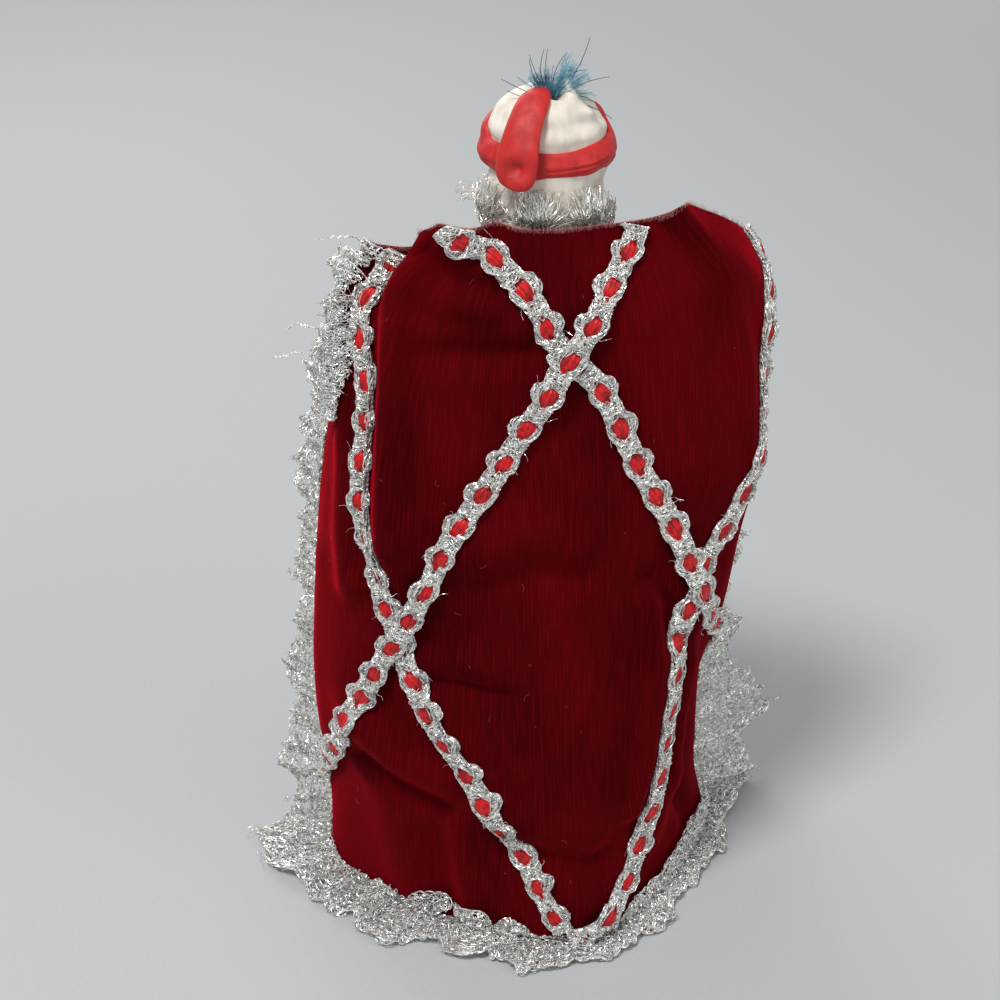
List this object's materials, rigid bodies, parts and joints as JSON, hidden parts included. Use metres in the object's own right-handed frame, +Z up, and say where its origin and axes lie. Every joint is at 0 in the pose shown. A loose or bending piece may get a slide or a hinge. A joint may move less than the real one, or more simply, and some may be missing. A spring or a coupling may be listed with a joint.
{
  "type": "santon figurine",
  "caption": "Dressed clay santon figure with a turban, a feather, a gift casket and a long velvet cape trimmed with ribboned braid and gathered metallic lace.",
  "frame": {"origin": "centre of the underside of the round wooden base, on the surface the figure stands on", "axes": "+Z up; the figure faces -Y, its back and the cape's open drape are towards +Y, and its own left side is +X"},
  "size_m": [0.16, 0.1189, 0.2523],
  "materials": {
    "velvet": "deep red cotton velvet with a short pile",
    "silver_lace": "silver metallic thread, bright and open",
    "silver_braid": "silver metallic thread, crocheted tight",
    "ribbon": "red satin ribbon",
    "tunic_cloth": "cream cotton, matt",
    "sash_cloth": "dark blue satin",
    "wood": "stained, satin",
    "boot": "fired clay painted dark brown, satin",
    "padding": "cotton wadding bound with thread",
    "steel": "bare annealed wire",
    "skin": "fired clay painted brown, matt",
    "beard_paint": "fired clay painted dark grey brown, matt",
    "white_paint": "fired clay painted warm white, matt",
    "red_paint": "fired clay painted red, satin",
    "gilt_wood": "wood painted with gilt",
    "gilt_clasp": "brass",
    "feather": null
  },
  "bodies": {
    "figure": {"cape": "velvet", "braid_a": "silver_braid", "braid_b": "silver_braid", "braid_c": "silver_braid", "braid_d": "silver_braid", "ribbon_a": "ribbon", "ribbon_b": "ribbon", "ribbon_c": "ribbon", "ribbon_d": "ribbon", "lace_left_edge": "silver_lace", "lace_hem": "silver_lace", "lace_right_edge": "silver_lace", "neck_lace": "silver_lace", "base": "wood", "boot_left": "boot", "boot_right": "boot", "leg_padding_left": "padding", "leg_padding_right": "padding", "body_padding": "padding", "leg_wire_left": "steel", "leg_wire_right": "steel", "spine_wire": "steel", "tunic": "tunic_cloth", "sash": "sash_cloth", "sash_knot": "sash_cloth", "sash_end_left": "sash_cloth", "sash_end_right": "sash_cloth"},
    "arms": {"arm_wire_left": "steel", "arm_padding_left": "padding", "sleeve_left": "tunic_cloth", "hand_left": "skin", "arm_wire_right": "steel", "arm_padding_right": "padding", "sleeve_right": "tunic_cloth", "hand_right": "skin", "gift_casket": "gilt_wood", "gift_lid": "gilt_wood", "gift_clasp": "gilt_clasp"},
    "head": {"head": "skin", "beard": "beard_paint", "turban_crown": "white_paint", "turban_band": "red_paint", "turban_tail": "red_paint", "nape_veil": "white_paint", "feather_quill": "feather", "feather_tuft": "feather"}
  },
  "joints": [
    {"name": "arms_raise", "type": "hinge", "parent": "figure", "child": "arms", "pos_m": [0, 0, 0.187], "axis": [-1, 0, 0], "range_deg": [-6, 12]},
    {"name": "head_turn", "type": "hinge", "parent": "figure", "child": "head", "pos_m": [0, 0, 0.2], "axis": [0, 0, 1], "range_deg": [-15, 15]}
  ]
}
